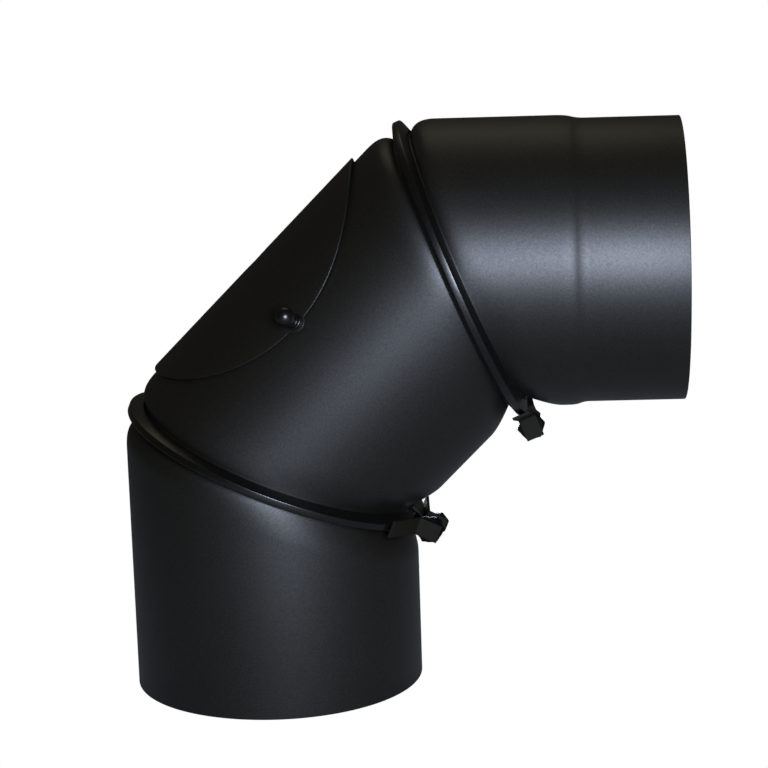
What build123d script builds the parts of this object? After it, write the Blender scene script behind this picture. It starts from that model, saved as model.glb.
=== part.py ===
from build123d import *
import os
from math import cos, degrees, pi, radians, sin, sqrt, tan

# Adjustable stove pipe elbow: three formed sheet steel segments that swivel in two clamped flange joints.
# Millimetres and degrees. The origin is the centre of the lower rim, +Z runs up the lower pipe
# and the spigot of the upper pipe points along +X.

# Pipe
wall = 2.0
lower_bore = 150.0
socket_bore = 151.6
socket_depth = 60.0
tube_outer = 152.0
spigot_outer = 148.6
lower_length = 121.5
middle_length = 145.0
upper_land = 0.3
spigot_length = 50.0
spigot_step = 12.5

# Swivel joints: each cuts the bend by half, and its oblique pipe ends are formed round
joint_tilt = 22.5
joint_offset = 3.0
neck_outer = 151.2
neck_height = 4.9
form_height = 21.0
form_fullness = 0.65
form_sections = 7
lip_reach = 4.3
lip_sheet = 1.5
lip_gap = 0.2

# Clamp rings of bent channel, closed by a bolt through two lugs
ring_sheet = 1.2
ring_height = 6.8
ring_slope = 0.36
ring_overlap = 2.7
ring_clearance = 0.33
ring_split = 16.0
lower_clamp_turn = 13.0
upper_clamp_turn = 0.0
lug_sheet = 1.5
lug_width = 9.5
lug_leg = 28.0
lug_ear = 12.5
lug_bend = 1.0
lug_spacing = 18.0
weld_gap = 0.05
bolt_size = 6.0
hex_flats = 10.0
bolt_head = 4.0
nut_height = 6.0
nut_flange = 14.2
nut_flange_sheet = 1.4
hex_bevel = 0.5
head_play = 0.3
bolt_hole_play = 0.2
bolt_end_gap = 1.0
thread_play = 0.05

# Cleaning door: a round blank rolled to the pipe
door_radius = 74.0
door_sheet = 1.5
door_tab_radius = 6.0
opening_radius = 64.0
outline_points = 24
seal_sheet = 0.8
seal_gap = 0.3
seal_inset = 2.0
seal_width = 8.0

# Ball knob riveted to the tab
knob_inset = 2.5
knob_shift = 2.0
ball_diameter = 10.0
ball_height = 12.0
knob_neck = 5.0
knob_collar = 9.0
knob_collar_height = 1.8
knob_collar_round = 0.6
rivet_diameter = 4.0
rivet_play = 0.05

# Spring clip inside the door, beside the front edge of the opening
clip_sheet = 0.9
clip_width = 12.0
clip_base = 16.0
clip_tongue = 9.0
clip_play = 0.4

# Door hinge behind the pipe
pin_diameter = 4.0
pin_stand = 8.0
pin_angle = 65.0
pin_play = 0.05
pin_seat_play = 0.02
pin_overhang = 1.5
knuckle_outer = 8.0
strap_sheet = 2.0
strap_width = 16.0
strap_length = 36.0
bracket_sheet = 2.0
bracket_foot = 16.0
bracket_play = 0.3

# Values that follow from the sizes above
lower_radius = lower_bore / 2 + wall
tube_radius = tube_outer / 2
spigot_radius = spigot_outer / 2
neck_radius = neck_outer / 2
throat_reach = form_height / cos(radians(joint_tilt)) + tube_radius * tan(radians(joint_tilt))
upper_length = throat_reach + upper_land + spigot_step + spigot_length
lip_radius = neck_radius + lip_reach
lip_half = lip_gap / 2 + lip_sheet
ring_lean = sqrt(1 + ring_slope**2)
ring_base_radius = lip_radius - ring_overlap
ring_outer_radius = ring_base_radius + ring_height
groove_half = lip_half + ring_clearance * ring_lean + ring_slope * ring_overlap
ring_half = groove_half + ring_sheet * ring_lean
lug_seat = ring_outer_radius + weld_gap
bolt_radius = lug_seat + lug_sheet + lug_bend + head_play + hex_flats / 2
door_inner = tube_radius + seal_gap + seal_sheet
door_outer = door_inner + door_sheet
tab_arc = door_radius - knob_inset
pin_radius = tube_radius + pin_stand


def heading(angle):
    """Unit direction in the plane of the bend, turned from +Z towards +X."""
    return Vector(sin(radians(angle)), 0, cos(radians(angle)))


def heel_of(normal):
    """Direction in a joint's plane towards the outside of the bend."""
    return Vector(-normal.Z, 0, normal.X)


lower_axis = heading(0)
middle_axis = heading(2 * joint_tilt)
upper_axis = heading(4 * joint_tilt)
lower_normal = heading(joint_tilt)
upper_normal = heading(3 * joint_tilt)
lower_corner = lower_axis * lower_length
upper_corner = lower_corner + middle_axis * middle_length
spigot_end = upper_corner + upper_axis * upper_length
lower_joint = lower_corner - heel_of(lower_normal) * joint_offset
upper_joint = upper_corner - heel_of(upper_normal) * joint_offset
middle_point = (lower_corner + upper_corner) * 0.5
middle_frame = Plane(origin=middle_point, x_dir=heel_of(middle_axis), z_dir=middle_axis)


def joint_plane(joint, normal, into):
    """Plane of a joint with its normal pointing into one of the two segments."""
    return Plane(origin=joint, x_dir=heel_of(normal), z_dir=normal * into)


def formed_body(plane, radius, inset):
    """Solid inside of an oblique pipe end that changes from the pipe's ellipse to the joint's circle."""
    pipe_radius = radius - inset
    round_radius = neck_radius - inset
    full = 1 - sqrt(1 - form_fullness)
    sections = []
    for k in range(form_sections):
        step = sin(pi / 2 * k / (form_sections - 1))
        height = form_height + (neck_height - form_height) * step
        share = (1 - sqrt(1 - form_fullness * step**2)) / full
        shift = (1 - share) * (joint_offset - height * tan(radians(joint_tilt)))
        long_radius = (1 - share) * pipe_radius / cos(radians(joint_tilt)) + share * round_radius
        short_radius = (1 - share) * pipe_radius + share * round_radius
        sections.append(plane.offset(height) * Pos(shift, 0, 0) * Ellipse(long_radius, short_radius))
    return loft(sections)


def disc(plane, radius, low, high):
    """Round solid about a plane's normal, from one height to another."""
    return plane.offset(low) * extrude(Circle(radius), high - low)


def formed_wall(plane, radius):
    """Sheet of one oblique end: the formed wall, its round neck and the lip that the ring holds."""
    wall_sheet = formed_body(plane, radius, 0) - formed_body(plane, radius, wall)
    face = lip_gap / 2
    neck = disc(plane, neck_radius, face, neck_height)
    lip = disc(plane, lip_radius, face, face + lip_sheet)
    bore = disc(plane, neck_radius - wall, face, neck_height)
    return wall_sheet + (neck + lip - bore)


def beyond(solid, plane):
    """Part of a solid on the far side of the plane where its oblique end starts."""
    return split(solid, bisect_by=plane.offset(form_height), keep=Keep.TOP)


def pipe(plane, radius, length):
    """Straight pipe of the sheet's thickness from a plane along its normal."""
    return disc(plane, radius, 0, length) - disc(plane, radius - wall, 0, length)


def lower_segment():
    """Plain lower pipe, its open end widened inside as a socket."""
    end = joint_plane(lower_joint, lower_normal, -1)
    straight = pipe(Plane.XY, lower_radius, 2 * lower_length)
    socket = disc(Plane.XY, socket_bore / 2, 0, socket_depth)
    return beyond(straight, end) + formed_wall(end, lower_radius) - socket


def rolled_disc(radius, surface_radius, arc=0.0):
    """Outline of a flat round blank rolled to a radius, seen along the heel direction."""
    points = []
    for k in range(outline_points):
        turn = 2 * pi * k / outline_points
        roll = (arc + radius * cos(turn)) / surface_radius
        points.append((surface_radius * sin(roll), radius * sin(turn)))
    seen_from_heel = Plane(origin=(0, 0, 0), x_dir=(0, 1, 0), z_dir=(1, 0, 0))
    return seen_from_heel * make_face(Spline(*points, periodic=True))


def rolled_sheet(outline, surface_radius, sheet):
    """Sheet with square edges on a pipe surface of the given radius, under the outline."""
    length = middle_length + 4 * surface_radius
    cylinder = Solid.make_cylinder(surface_radius, length, Plane((0, 0, -length / 2)))
    skin = cylinder.faces().filter_by(GeomType.CYLINDER)[0]
    punch = extrude(outline, 2 * surface_radius, dir=(1, 0, 0))
    patch = skin.intersect(punch)
    return thicken(patch, sheet)


def middle_segment():
    """Middle pipe with two oblique ends and the round cleaning opening in its heel."""
    low_end = joint_plane(lower_joint, lower_normal, 1)
    high_end = joint_plane(upper_joint, upper_normal, -1)
    reach = middle_length + 4 * tube_radius
    straight = pipe(middle_frame.offset(-reach / 2), tube_radius, reach)
    straight = beyond(beyond(straight, low_end), high_end)
    whole = straight + formed_wall(low_end, tube_radius) + formed_wall(high_end, tube_radius)
    punch_radius = tube_radius - 2 * wall
    punch = rolled_sheet(rolled_disc(opening_radius, tube_radius), punch_radius, 4 * wall)
    return whole - middle_frame * punch


def upper_segment():
    """Upper pipe that steps down to the spigot."""
    end = joint_plane(upper_joint, upper_normal, 1)
    step_end = upper_length - spigot_length
    step_start = step_end - spigot_step
    step_middle = (step_start + step_end) / 2
    edges = []
    for inset in (0, wall):
        body = tube_radius - inset
        spigot = spigot_radius - inset
        turn = (step_middle, (body + spigot) / 2)
        edges.append(TangentArc((step_start, body), turn, tangent=(1, 0)))
        edges.append(TangentArc((step_end, spigot), turn, tangent=(-1, 0)))
        edges.append(Line((step_end, spigot), (upper_length, spigot)))
    edges.append(Line((step_start, tube_radius), (step_start, tube_radius - wall)))
    edges.append(Line((upper_length, spigot_radius), (upper_length, spigot_radius - wall)))
    along = Plane(origin=upper_corner, x_dir=upper_axis, z_dir=(0, -1, 0))
    stepped = revolve(along * make_face(edges), Axis(upper_corner, upper_axis))
    reach = 2 * tube_radius
    start = Plane(origin=upper_corner - upper_axis * reach, z_dir=upper_axis)
    straight = pipe(start, tube_radius, reach + step_start)
    return beyond(straight, end) + stepped + formed_wall(end, tube_radius)


def clamp_frame(joint, normal, turn):
    """Frame of a clamp ring: X out through its split, turned from the throat to the front, Y forwards."""
    throat = heel_of(normal) * -1
    front = Vector(0, -1, 0)
    out = throat * cos(radians(turn)) + front * sin(radians(turn))
    return Plane(origin=joint, x_dir=out, z_dir=normal * -1)


def clamp_ring():
    """Split ring of bent channel that straddles both lips."""
    top_half = ring_half - ring_slope * ring_height
    groove_top = groove_half - ring_slope * (ring_height - ring_sheet)
    groove_radius = ring_outer_radius - ring_sheet
    section = [
        (ring_base_radius, ring_half),
        (ring_outer_radius, top_half),
        (ring_outer_radius, -top_half),
        (ring_base_radius, -ring_half),
        (ring_base_radius, -groove_half),
        (groove_radius, -groove_top),
        (groove_radius, groove_top),
        (ring_base_radius, groove_half),
    ]
    ring = revolve(Plane.XZ * make_face(Polyline(*section, close=True)), Axis.Z)
    gap = Pos(ring_outer_radius, 0, 0) * Box(2 * ring_height + lug_ear, ring_split, 4 * ring_half)
    return ring - gap


def clamp_lug():
    """Bent strip at the front end of the ring: a leg along the ring and an ear that the nut sits on."""
    seat = lug_seat + lug_sheet
    turn = (lug_spacing / 2 + lug_leg / 2) / ring_outer_radius
    along = Vector(-sin(turn), cos(turn))
    middle = Vector(cos(turn), sin(turn)) * seat
    ear_face = lug_spacing / 2 + lug_sheet
    foot = middle + along * ((ear_face - middle.Y) / along.Y)
    leg_end = foot + along * lug_leg
    ear_top = Vector(ring_outer_radius + lug_ear, ear_face)
    path = FilletPolyline((ear_top.X, ear_top.Y), (foot.X, foot.Y), (leg_end.X, leg_end.Y), radius=lug_bend)
    strip = make_face(offset(path, lug_sheet, side=Side.LEFT))
    return Pos(0, 0, -lug_width / 2) * extrude(strip, lug_width)


def drilled_lug():
    """Lug at the rear end of the ring, with a hole for the bolt."""
    hole = Rot(90, 0, 0) * Cylinder(bolt_size / 2 + bolt_hole_play, 4 * lug_sheet)
    return mirror(clamp_lug(), Plane.XZ) - Pos(bolt_radius, -lug_spacing / 2 - lug_sheet, 0) * hole


def hexagon(height):
    """Hexagon with its outer corners turned off at the top."""
    blank = extrude(RegularPolygon(hex_flats / 2, 6, major_radius=False, rotation=30), height)
    corner = hex_flats / sqrt(3)
    crown = [(0, 0), (corner, 0), (corner, height - hex_bevel), (hex_flats / 2, height), (0, height)]
    return blank & revolve(Plane.XZ * make_face(Polyline(*crown, close=True)), Axis.Z)


def clamp_bolt():
    """Hexagon bolt across the split, its head behind the rear ear and its end in the nut."""
    length = lug_spacing + lug_sheet - bolt_end_gap
    shank = Cylinder(bolt_size / 2, length, align=(Align.CENTER, Align.CENTER, Align.MAX))
    seat = -lug_spacing / 2 - lug_sheet
    return Pos(bolt_radius, seat, 0) * Rot(90, 0, 0) * (shank + hexagon(bolt_head))


def clamp_nut():
    """Flanged nut against the inside of the front ear."""
    flange = Cylinder(nut_flange / 2, nut_flange_sheet, align=(Align.CENTER, Align.CENTER, Align.MIN))
    nut = flange + hexagon(nut_height) - Cylinder(bolt_size / 2 + thread_play, 4 * nut_height)
    return Pos(bolt_radius, lug_spacing / 2, 0) * Rot(90, 0, 0) * nut


def polar(radius, angle, height=0.0):
    """Point on the middle pipe's frame: angle from the heel towards the front."""
    return Vector(radius * cos(radians(angle)), radius * sin(radians(angle)), height)


def arc_plate(inner, sheet, start, stop, width):
    """Curved strip about the middle pipe's axis between two angles."""
    plate = Pos(0, 0, -width / 2) * extrude(Circle(inner + sheet) - Circle(inner), width)
    low, high = polar(2 * inner, start), polar(2 * inner, stop)
    wedge = make_face(Polyline((0, 0), (low.X, low.Y), (high.X, high.Y), close=True))
    return plate & (Pos(0, 0, -width / 2) * extrude(wedge, width))


def door_leaf():
    """Round door with a small tab for the knob at the middle of its front edge."""
    leaf = rolled_sheet(rolled_disc(door_radius, door_inner), door_inner, door_sheet)
    tab_outline = Pos(0, 0, knob_shift) * rolled_disc(door_tab_radius, door_inner, tab_arc)
    tab = rolled_sheet(tab_outline, door_inner, door_sheet)
    hole = knob_frame() * Cylinder(rivet_diameter / 2 + rivet_play, 4 * door_sheet)
    return leaf + tab - hole


def door_seal():
    """Flat fibre seal under the rim of the door."""
    edge = door_radius - seal_inset
    outer = rolled_disc(edge, door_inner)
    inner = rolled_disc(edge - seal_width, door_inner)
    return rolled_sheet(outer - inner, door_inner - seal_sheet, seal_sheet)


def knob_frame():
    """Frame of the knob: Z out of the door's outer face at the tab."""
    out = polar(1, degrees(tab_arc / door_inner))
    return Plane(origin=out * door_outer + Vector(0, 0, knob_shift), x_dir=(0, 0, 1), z_dir=out)


def ball_knob():
    """Turned ball on a collared neck, riveted flush through the tab."""
    collar = Cylinder(knob_collar / 2, knob_collar_height, align=(Align.CENTER, Align.CENTER, Align.MIN))
    collar = fillet(collar.edges().group_by(Axis.Z)[-1], knob_collar_round)
    neck = Cylinder(knob_neck / 2, ball_height, align=(Align.CENTER, Align.CENTER, Align.MIN))
    rivet = Cylinder(rivet_diameter / 2, door_sheet, align=(Align.CENTER, Align.CENTER, Align.MAX))
    ball = Pos(0, 0, ball_height) * Sphere(ball_diameter / 2)
    return knob_frame() * (collar + neck + rivet + ball)


def door_clip():
    """Bent spring strip whose tongue reaches in beside the opening's front edge."""
    edge = degrees((opening_radius - clip_play) / tube_radius)
    tongue_turn = degrees(clip_sheet / tube_radius)
    base_turn = degrees(clip_base / tube_radius)
    base = arc_plate(door_inner - clip_sheet, clip_sheet, edge - base_turn, edge, clip_width)
    depth = clip_tongue + clip_sheet
    tongue = arc_plate(door_inner - depth, depth, edge - tongue_turn, edge, clip_width)
    return base + tongue


def hinge_strap():
    """Strap on the rear of the door that rises to a knuckle round the pin."""
    seat = door_outer + weld_gap
    strap_turn = degrees(strap_length / door_outer)
    strap = arc_plate(seat, strap_sheet, -pin_angle, strap_turn - pin_angle, strap_width)
    pin = polar(pin_radius, -pin_angle)
    foot = polar(seat, -pin_angle)
    side = polar(knuckle_outer / 2, 90 - pin_angle)
    web = Polyline([(corner.X, corner.Y) for corner in (pin, foot, foot + side, pin + side)], close=True)
    rise = Pos(0, 0, -strap_width / 2) * extrude(make_face(web), strap_width)
    knuckle = Pos(*pin) * Cylinder(knuckle_outer / 2, strap_width)
    bore = Pos(*pin) * Cylinder(pin_diameter / 2 + pin_play, 2 * strap_width)
    return strap + rise + knuckle - bore


def hinge_bracket():
    """Bracket on the rear of the pipe whose two ears hold the pin."""
    seat = tube_radius + weld_gap
    pin = polar(pin_radius, -pin_angle)
    foot_turn = degrees(bracket_foot / tube_radius)
    ear_inside = strap_width / 2 + bracket_play
    span = 2 * (ear_inside + bracket_sheet)
    half = knuckle_outer / 2
    foot_start = pin_angle + degrees(half / pin_radius)
    foot = arc_plate(seat, bracket_sheet, -foot_start - foot_turn, -foot_start, span)
    root = tube_radius - wall
    near = polar(root, degrees(half / pin_radius) - pin_angle)
    far = polar(root, -foot_start - foot_turn / 2)
    side = polar(half, -pin_angle - 90)
    corners = [near, pin - side, pin + side, far]
    web = Polyline([(corner.X, corner.Y) for corner in corners], close=True)
    outline = make_face(web) + Pos(pin.X, pin.Y) * Circle(half) - Circle(seat)
    hole = Pos(*pin) * Cylinder(pin_diameter / 2 + pin_seat_play, 2 * span)
    ear = extrude(outline, bracket_sheet)
    bracket = foot + Pos(0, 0, ear_inside) * ear + Pos(0, 0, -ear_inside - bracket_sheet) * ear
    return bracket - hole


def hinge_pin():
    """Plain pin through the knuckle and both ears."""
    length = strap_width + 2 * (bracket_play + bracket_sheet + pin_overhang)
    return Pos(*polar(pin_radius, -pin_angle)) * Cylinder(pin_diameter / 2, length)


nodes = {
    "lower_segment": lower_segment(),
    "middle_segment": middle_segment(),
    "upper_segment": upper_segment(),
}

door_pieces = {
    "door_leaf": door_leaf,
    "door_seal": door_seal,
    "door_clip": door_clip,
    "ball_knob": ball_knob,
    "hinge_strap": hinge_strap,
    "hinge_bracket": hinge_bracket,
    "hinge_pin": hinge_pin,
}
for name, make in door_pieces.items():
    nodes[name] = middle_frame * make()

clamps = {
    "lower": clamp_frame(lower_joint, lower_normal, lower_clamp_turn),
    "upper": clamp_frame(upper_joint, upper_normal, upper_clamp_turn),
}
for name, frame in clamps.items():
    nodes[name + "_clamp_ring"] = frame * clamp_ring()
    nodes[name + "_front_lug"] = frame * clamp_lug()
    nodes[name + "_rear_lug"] = frame * drilled_lug()
    nodes[name + "_clamp_bolt"] = frame * clamp_bolt()
    nodes[name + "_clamp_nut"] = frame * clamp_nut()

os.makedirs("parts", exist_ok=True)
for name, shape in nodes.items():
    export_step(shape, f"parts/{name}.step")
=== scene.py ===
import math

import bmesh
import bpy
from mathutils import Matrix, Vector


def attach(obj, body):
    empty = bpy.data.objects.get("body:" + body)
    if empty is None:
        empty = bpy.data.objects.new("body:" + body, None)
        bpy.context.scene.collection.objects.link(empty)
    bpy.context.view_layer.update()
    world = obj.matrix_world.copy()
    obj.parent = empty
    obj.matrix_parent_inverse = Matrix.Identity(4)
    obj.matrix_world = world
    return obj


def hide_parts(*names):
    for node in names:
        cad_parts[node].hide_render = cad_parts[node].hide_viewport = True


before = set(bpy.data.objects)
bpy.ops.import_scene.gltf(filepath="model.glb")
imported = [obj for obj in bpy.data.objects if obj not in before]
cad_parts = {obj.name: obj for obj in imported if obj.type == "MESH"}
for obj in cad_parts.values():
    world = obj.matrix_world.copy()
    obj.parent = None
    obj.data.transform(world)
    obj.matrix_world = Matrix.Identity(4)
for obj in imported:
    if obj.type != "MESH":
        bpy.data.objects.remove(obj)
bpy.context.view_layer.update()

bl_info = {
    "name": "Stove Pipe Elbow",
    "version": (1, 0, 0),
    "blender": (4, 5, 0),
    "location": "View3D > Sidebar > Stove Elbow",
    "description": "Adjustable stove pipe elbow with clamp rings and a cleaning door",
    "category": "Object",
}

# Sizes are in metres in the frame's axes: the bend lies in the XZ plane, its front looks to -Y, the floor is at Z 0.
FULL_TURN = 2 * math.pi
QUARTER_TURN = math.pi / 2
WHITE = (1.0, 1.0, 1.0, 1.0)

# Bends up to these angles are shaded smooth.
SMOOTH_ANGLE = math.radians(35)
THREAD_ANGLE = math.radians(20)
JOIN_DISTANCE = 1e-7

# A rounding takes at most this share of a profile's side, and a corner that is nearly straight gets none.
SIDE_SHARE = 0.49
STRAIGHT_HALF = math.radians(89.5)
BEVEL_ANGLE = math.radians(40)
BEVEL_SEGMENTS = 2

# Numbers of faces along and round the pieces.
CORNER_STEPS = 4
FORM_STEPS = 24
SPIGOT_STEPS = 28
BALL_STEPS = 28
OPENING_COLUMNS = 128
NUT_COLUMNS = 48
THREAD_COLUMNS = 32
DOOR_COLUMNS = 720
SEAL_COLUMNS = 360
KNOB_COLUMNS = 64

# Rows of a disc as shares of its radius.
PUNCH_SHARES = (0.25, 0.5, 0.75, 1.0)
LEAF_SHARES = (0.15, 0.3, 0.45, 0.6, 0.75, 0.86, 0.93, 0.97)

# Noise textures as scale and detail.
CLOUDS, GRAIN, PEEL, SPARKLE = (22.0, 3.0), (2600.0, 2.0), (420.0, 2.0), (1000.0, 3.0)
WORN, WEAVE = (700.0, 4.0), (1400.0, 5.0)

# Parts of a noise's range that a finish uses.
FLECK_RANGE, SHEEN_RANGE, CLOUD_RANGE = (0.62, 0.74), (0.25, 0.75), (0.3, 0.7)
FLECK_STRENGTH = 0.12
SHEEN_SWING = 0.21

# Bumps as strength and depth.
PEEL_BUMP, GRAIN_BUMP, WEAVE_BUMP = (0.06, 0.0002), (0.04, 0.0001), (0.5, 0.0003)


def maker(kind, **settings):
    """Function that makes a property from its name, description and default."""

    def make(name, description, default):
        return kind(name=name, description=description, default=default, **settings)

    return make


length = maker(bpy.props.FloatProperty, min=0.0, precision=5, unit="LENGTH", subtype="DISTANCE")
angle = maker(bpy.props.FloatProperty, unit="ROTATION", subtype="ANGLE")
number = maker(bpy.props.FloatProperty, precision=4)
whole_number = maker(bpy.props.IntProperty, min=1)
power = maker(bpy.props.FloatProperty, min=0.0, unit="POWER")
span = maker(bpy.props.FloatVectorProperty, size=2, precision=4)
place = maker(bpy.props.FloatVectorProperty, unit="LENGTH", subtype="TRANSLATION")
colour = maker(bpy.props.FloatVectorProperty, min=0.0, max=1.0, precision=5, subtype="COLOR")


class PipeSizes(bpy.types.PropertyGroup):
    """Sizes of the three pipe segments and their joints"""

    wall: length("Wall", "Thickness of the sheet", 0.002)
    lower_radius: length("Lower radius", "Outside radius of the lower pipe", 0.077)
    tube_radius: length("Tube radius", "Outside radius of the middle and upper pipes", 0.076)
    socket_radius: length("Socket radius", "Inside radius of the socket", 0.0758)
    socket_depth: length("Socket depth", "Depth of the socket", 0.06)
    spigot_radius: length("Spigot radius", "Outside radius of the spigot", 0.0743)
    lower_length: length("Lower length", "Rim to the corner of the lower joint", 0.1215)
    middle_length: length("Middle length", "Corner to corner of the two joints", 0.145)
    spigot_length: length("Spigot length", "Straight part of the spigot", 0.05)
    spigot_step: length("Spigot step", "Length of the step down to the spigot", 0.0125)
    step_lead: length("Step lead", "Soft start of the step before its length", 0.005)
    step_bend: number("Step bend", "Share of the step before it bends back", 0.63)
    step_power: number("Step power", "How late the step falls", 3.5)
    upper_land: length("Upper land", "Straight part of the upper pipe at the throat", 0.0003)
    tilt: angle("Joint tilt", "Half the bend of one joint", math.radians(22.5))
    joint_offset: length("Joint offset", "Ring centre from the pipe axis, towards the throat", 0.003)
    neck_radius: length("Neck radius", "Outside radius of the round neck", 0.0756)
    neck_height: length("Neck height", "Joint plane to the top of the neck", 0.0049)
    form_height: length("Form height", "Joint plane to the start of the formed end", 0.021)
    fullness: number("Fullness", "Roundness of the formed shoulder", 0.65)
    lip_radius: length("Lip radius", "Outside radius of the lip", 0.0799)
    lip_sheet: length("Lip sheet", "Thickness of the lip", 0.0015)
    lip_face: length("Lip face", "Joint plane to the lip's face", 0.0001)
    lip_root: length("Lip root", "Rounding between the neck and the lip", 0.0008)
    lip_mouth: length("Lip mouth", "Rounding between the lip's face and the bore", 0.001)
    edge: length("Edge", "Rounding of the sheet's edges", 0.0004)
    columns: whole_number("Columns", "Faces round a pipe", 256)


class ClampSizes(bpy.types.PropertyGroup):
    """Sizes of the clamp rings and what closes them"""

    base_radius: length("Base radius", "Inside edge of the ring", 0.0772)
    outer_radius: length("Outer radius", "Outside of the ring", 0.084)
    base_half: length("Base half", "Half width of the ring at its inside edge", 0.0042)
    top_half: length("Top half", "Half width of the ring's outer band", 0.00175)
    sheet: length("Sheet", "Thickness of the ring's channel", 0.0012)
    corner: length("Corner", "Rounding of the ring's bends", 0.0007)
    split: length("Split", "Gap between the ring's ends", 0.016)
    lower_turn: angle("Lower turn", "Lower split from the throat to the front", math.radians(13.0))
    upper_turn: angle("Upper turn", "Upper split from the throat to the front", math.radians(0.0))
    bolt_radius: length("Bolt radius", "Bolt axis from the ring's centre", 0.09185)
    bolt_size: length("Bolt size", "Diameter of the bolt", 0.006)
    thread_pitch: length("Thread pitch", "Distance between two thread turns", 0.001)
    thread_turns: whole_number("Thread turns", "Thread turns that show", 16)
    thread_rise: length("Thread rise", "Bolt's surface to the thread's crest", 0.00012)
    thread_depth: length("Thread depth", "Bolt's surface to the thread's root", 0.0003)
    crest_share: number("Crest share", "Flat of the crest as a share of the pitch", 0.12)
    lug_bevel: length("Lug bevel", "Rounding of the lugs' edges", 0.00025)
    lug_sheet: length("Lug sheet", "Thickness of the lugs", 0.0015)
    lug_width: length("Lug width", "Width of the lugs", 0.0095)
    lug_leg: length("Lug leg", "Length of a lug along the ring", 0.028)
    lug_bend: length("Lug bend", "Inside radius of a lug's bend", 0.001)
    lug_spacing: length("Lug spacing", "Distance between the two ears", 0.018)
    weld_gap: length("Weld gap", "Ring to the lug's leg", 0.00005)
    ear_reach: length("Ear reach", "Ring's outside to the end of the front ear", 0.014)
    nut_flats: length("Nut flats", "Nut from flat to flat", 0.013)
    nut_turn: angle("Nut turn", "Turn of the nut on the bolt", math.radians(-10.0))
    nut_height: length("Nut height", "Height of the nut", 0.006)
    nut_bore: length("Nut bore", "Radius of the nut's bore", 0.00325)
    nut_bevel: length("Nut bevel", "Height of the turned corners of the nut", 0.0008)


class DoorSizes(bpy.types.PropertyGroup):
    """Sizes of the cleaning door"""

    radius: length("Radius", "Radius of the door's flat blank", 0.074)
    lower_reach: length("Lower reach", "Middle of the door to its lower end", 0.079)
    knob_inset: length("Knob inset", "Knob from the door's front edge", 0.0025)
    knob_shift: length("Knob shift", "Knob from the middle of the edge, upwards", 0.002)
    tab_radius: length("Tab radius", "Radius of the tab under the knob", 0.006)
    inner_radius: length("Inner radius", "Pipe axis to the door's inner face", 0.0771)
    sheet: length("Sheet", "Thickness of the door", 0.0015)
    opening: length("Opening", "Radius of the opening's flat blank", 0.064)
    edge: length("Edge", "Rounding of the door's outer edge", 0.00032)
    under_edge: length("Under edge", "Rounding of the door's edge towards the pipe", 0.0009)
    # The seal sits this close to the door's rim so that its near-black colour shows as painted shade in the gap
    # under the edge.
    seal_inset: length("Seal inset", "Door's rim to the seal", 0.0006)
    seal_width: length("Seal width", "Width of the seal", 0.0094)
    seal_sheet: length("Seal sheet", "Thickness of the seal", 0.0008)
    ball_radius: length("Ball radius", "Radius of the knob's ball", 0.005)
    ball_height: length("Ball height", "Door to the middle of the ball", 0.0095)
    neck_radius: length("Neck radius", "Radius of the knob's neck", 0.0025)
    collar_radius: length("Collar radius", "Radius of the knob's collar", 0.0045)
    collar_height: length("Collar height", "Height of the knob's collar", 0.0018)
    collar_foot: length("Collar foot", "Rounding of the collar at the door", 0.0002)
    collar_round: length("Collar round", "Rounding of the collar's top and of the neck's foot", 0.0006)
    rivet_radius: length("Rivet radius", "Radius of the knob's rivet", 0.002)
    pin_bevel: length("Pin bevel", "Rounding of the hinge pin's ends", 0.0002)


class FinishLooks(bpy.types.PropertyGroup):
    """Colours, roughness and gloss of the finishes"""

    paint_dark: colour("Paint dark", "Darker clouds of the stove paint", (0.0034, 0.0027, 0.0014))
    paint_light: colour("Paint light", "Lighter clouds of the stove paint", (0.0048, 0.0038, 0.002))
    paint_rough: span("Paint roughness", "Roughness of the stove paint", (0.435, 0.445))
    paint_gloss: number("Paint gloss", "Specular level of pipes, rings and knob", 0.5)
    fleck: colour("Fleck", "Small flecks in all paints", (0.11, 0.115, 0.12))
    ring_dark: colour("Ring dark", "Darker clouds on rings and knob", (0.0016, 0.0014, 0.001))
    ring_light: colour("Ring light", "Lighter clouds on rings and knob", (0.0026, 0.0022, 0.0016))
    ring_rough: span("Ring roughness", "Roughness of rings and knob", (0.27, 0.3))
    lug_dark: colour("Lug dark", "Darker clouds on the lugs", (0.0068, 0.0057, 0.0032))
    lug_light: colour("Lug light", "Lighter clouds on the lugs", (0.0085, 0.0072, 0.0045))
    lug_rough: span("Lug roughness", "Roughness of the lugs", (0.6, 0.68))
    lug_gloss: number("Lug gloss", "Specular level of the lugs", 0.1)
    black_dark: colour("Fastener dark", "Darker clouds on the fasteners", (0.0012, 0.0012, 0.0012))
    black_light: colour("Fastener light", "Lighter clouds on the fasteners", (0.002, 0.002, 0.002))
    black_rough: span("Fastener roughness", "Roughness of the fasteners", (0.45, 0.55))
    black_gloss: number("Fastener gloss", "Specular level of the fasteners", 0.04)
    spring_dark: colour("Spring dark", "Darker grain of the clip", (0.32, 0.32, 0.33))
    spring_light: colour("Spring light", "Lighter grain of the clip", (0.48, 0.48, 0.49))
    spring_rough: span("Spring roughness", "Roughness of the clip", (0.24, 0.38))
    # The seal's near-black colours are painted shade for the gap under the door's edge; the fibre grain between them
    # is real.
    seal_shade_dark: colour("Seal dark", "Darker fibres of the seal", (0.001, 0.001, 0.001))
    seal_shade_light: colour("Seal light", "Lighter fibres of the seal", (0.004, 0.004, 0.004))
    seal_rough: number("Seal roughness", "Roughness of the seal", 0.95)
    seal_gloss: number("Seal gloss", "Specular level of the seal", 0.03)


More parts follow.
